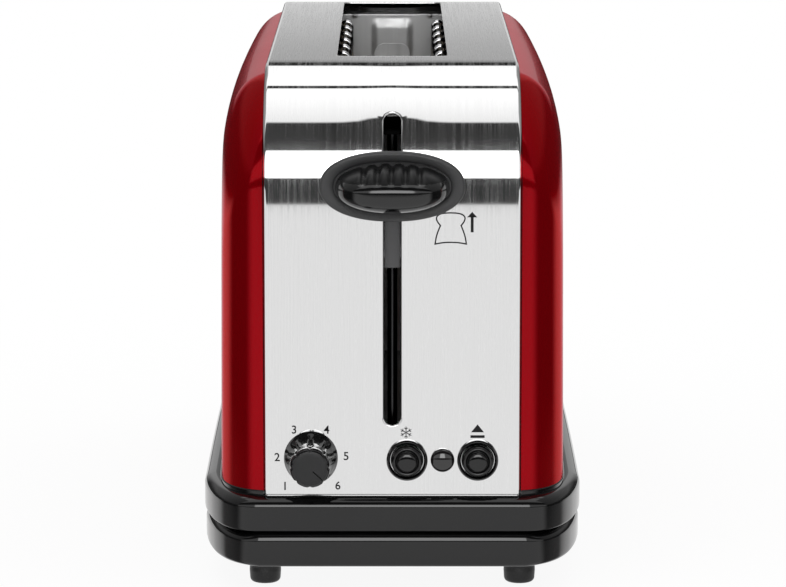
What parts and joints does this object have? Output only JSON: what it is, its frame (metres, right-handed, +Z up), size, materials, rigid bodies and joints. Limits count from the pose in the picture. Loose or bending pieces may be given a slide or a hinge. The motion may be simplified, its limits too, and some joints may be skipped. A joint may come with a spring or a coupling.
{
  "type": "pop-up toaster",
  "caption": "Long-slot pop-up toaster: steel wrap-around band, painted side covers, two-tier black base, lever, browning knob, buttons, crumb tray.",
  "frame": {"origin": "on the table, under the middle of the whole toaster", "axes": "+Z up, the lever end faces -Y, the long axis runs along Y"},
  "size_m": [0.156, 0.424, 0.2115],
  "materials": {
    "base_black": "gloss moulded plastic",
    "rubber_black": "satin moulded rubber",
    "band_steel": "bright brushed stainless steel",
    "cover_red": "high gloss enamel",
    "chassis_zinc": "zinc-plated sheet",
    "bracket_dark": "black satin",
    "mica_board": "mica sheet",
    "ribbon_wire": "nichrome ribbon",
    "chrome_wire": "bright plated wire",
    "carriage_steel": "plated steel",
    "carriage_plastic": "moulded",
    "board_green": "circuit board",
    "lever_satin": "fine satin moulding",
    "control_gloss": "gloss moulding",
    "lens_smoke": "smoked lens",
    "screw_steel": "plated screws"
  },
  "bodies": {
    "housing": {"base_tray": "base_black", "base_collar": "base_black", "foot_front_left": "rubber_black", "foot_front_right": "rubber_black", "foot_rear_left": "rubber_black", "foot_rear_right": "rubber_black", "front_panel": "band_steel", "rear_panel": "band_steel", "top_panel": "band_steel", "cover_left": "cover_red", "cover_right": "cover_red", "chassis_front": "chassis_zinc", "chassis_rear": "chassis_zinc", "chassis_floor": "chassis_zinc", "rear_floor": "chassis_zinc", "slot_end_bracket": "bracket_dark", "reflector_left": "chassis_zinc", "reflector_right": "chassis_zinc", "heater_board_left": "mica_board", "heater_board_right": "mica_board", "heating_ribbon_left": "ribbon_wire", "heating_ribbon_right": "ribbon_wire", "guide_rod": "chrome_wire", "top_bracket": "chassis_zinc", "slot_liner": "bracket_dark", "potentiometer": "carriage_plastic", "defrost_bezel": "control_gloss", "cancel_bezel": "control_gloss", "indicator_lens": "lens_smoke", "switch_blocks": "carriage_plastic", "control_board": "board_green", "electromagnet": "carriage_steel", "cord_gland": "rubber_black", "terminal_block": "carriage_plastic", "base_screws": "screw_steel", "rear_screws": "screw_steel", "carriage_spring": "carriage_steel"},
    "carriage": {"lever_flange": "lever_satin", "lever_grip": "control_gloss", "lever_arm": "carriage_steel", "slot_shield": "bracket_dark", "carriage_block": "carriage_plastic", "carriage_plate": "carriage_steel", "latch_armature": "carriage_steel", "rack_arm": "carriage_steel", "bread_rack": "chrome_wire"},
    "bread_guide_left": {"bread_guide_left": "chrome_wire"},
    "bread_guide_right": {"bread_guide_right": "chrome_wire"},
    "knob": {"browning_knob": "control_gloss", "knob_shaft": "carriage_steel"},
    "defrost_button": {"defrost_button": "control_gloss"},
    "cancel_button": {"cancel_button": "control_gloss"},
    "crumb_tray": {"crumb_tray": "chassis_zinc", "crumb_tray_pull": "base_black"}
  },
  "joints": [
    {"name": "lever_slide", "type": "slide", "parent": "housing", "child": "carriage", "axis": [0, 0, 1], "range_m": [-0.088, 0.012], "stiffness_N_per_m": 60, "springref_m": 0.018, "deforming": ["carriage_spring"]},
    {"name": "guide_left_hinge", "type": "hinge", "parent": "housing", "child": "bread_guide_left", "pos_m": [-0.0195, 0.016, 0.06], "axis": [0, 1, 0], "range_deg": [-1, 4.5]},
    {"name": "guide_right_hinge", "type": "hinge", "parent": "housing", "child": "bread_guide_right", "pos_m": [0.0195, 0.016, 0.06], "axis": [0, 1, 0], "range_deg": [-4.5, 1]},
    {"name": "knob_turn", "type": "hinge", "parent": "housing", "child": "knob", "pos_m": [-0.0326, -0.185, 0.0573], "axis": [0, -1, 0], "range_deg": [0, 274]},
    {"name": "defrost_press", "type": "slide", "parent": "housing", "child": "defrost_button", "axis": [0, 1, 0], "range_m": [0, 0.003], "stiffness_N_per_m": 400, "springref_m": -0.001},
    {"name": "cancel_press", "type": "slide", "parent": "housing", "child": "cancel_button", "axis": [0, 1, 0], "range_m": [0, 0.003], "stiffness_N_per_m": 400, "springref_m": -0.001},
    {"name": "tray_slide", "type": "slide", "parent": "housing", "child": "crumb_tray", "axis": [0, 1, 0], "range_m": [0, 0.3]}
  ],
  "couplings": [
    {"joint": "guide_left_hinge", "follows": "lever_slide", "rad_per_m": -0.8},
    {"joint": "guide_right_hinge", "follows": "lever_slide", "rad_per_m": 0.8}
  ]
}
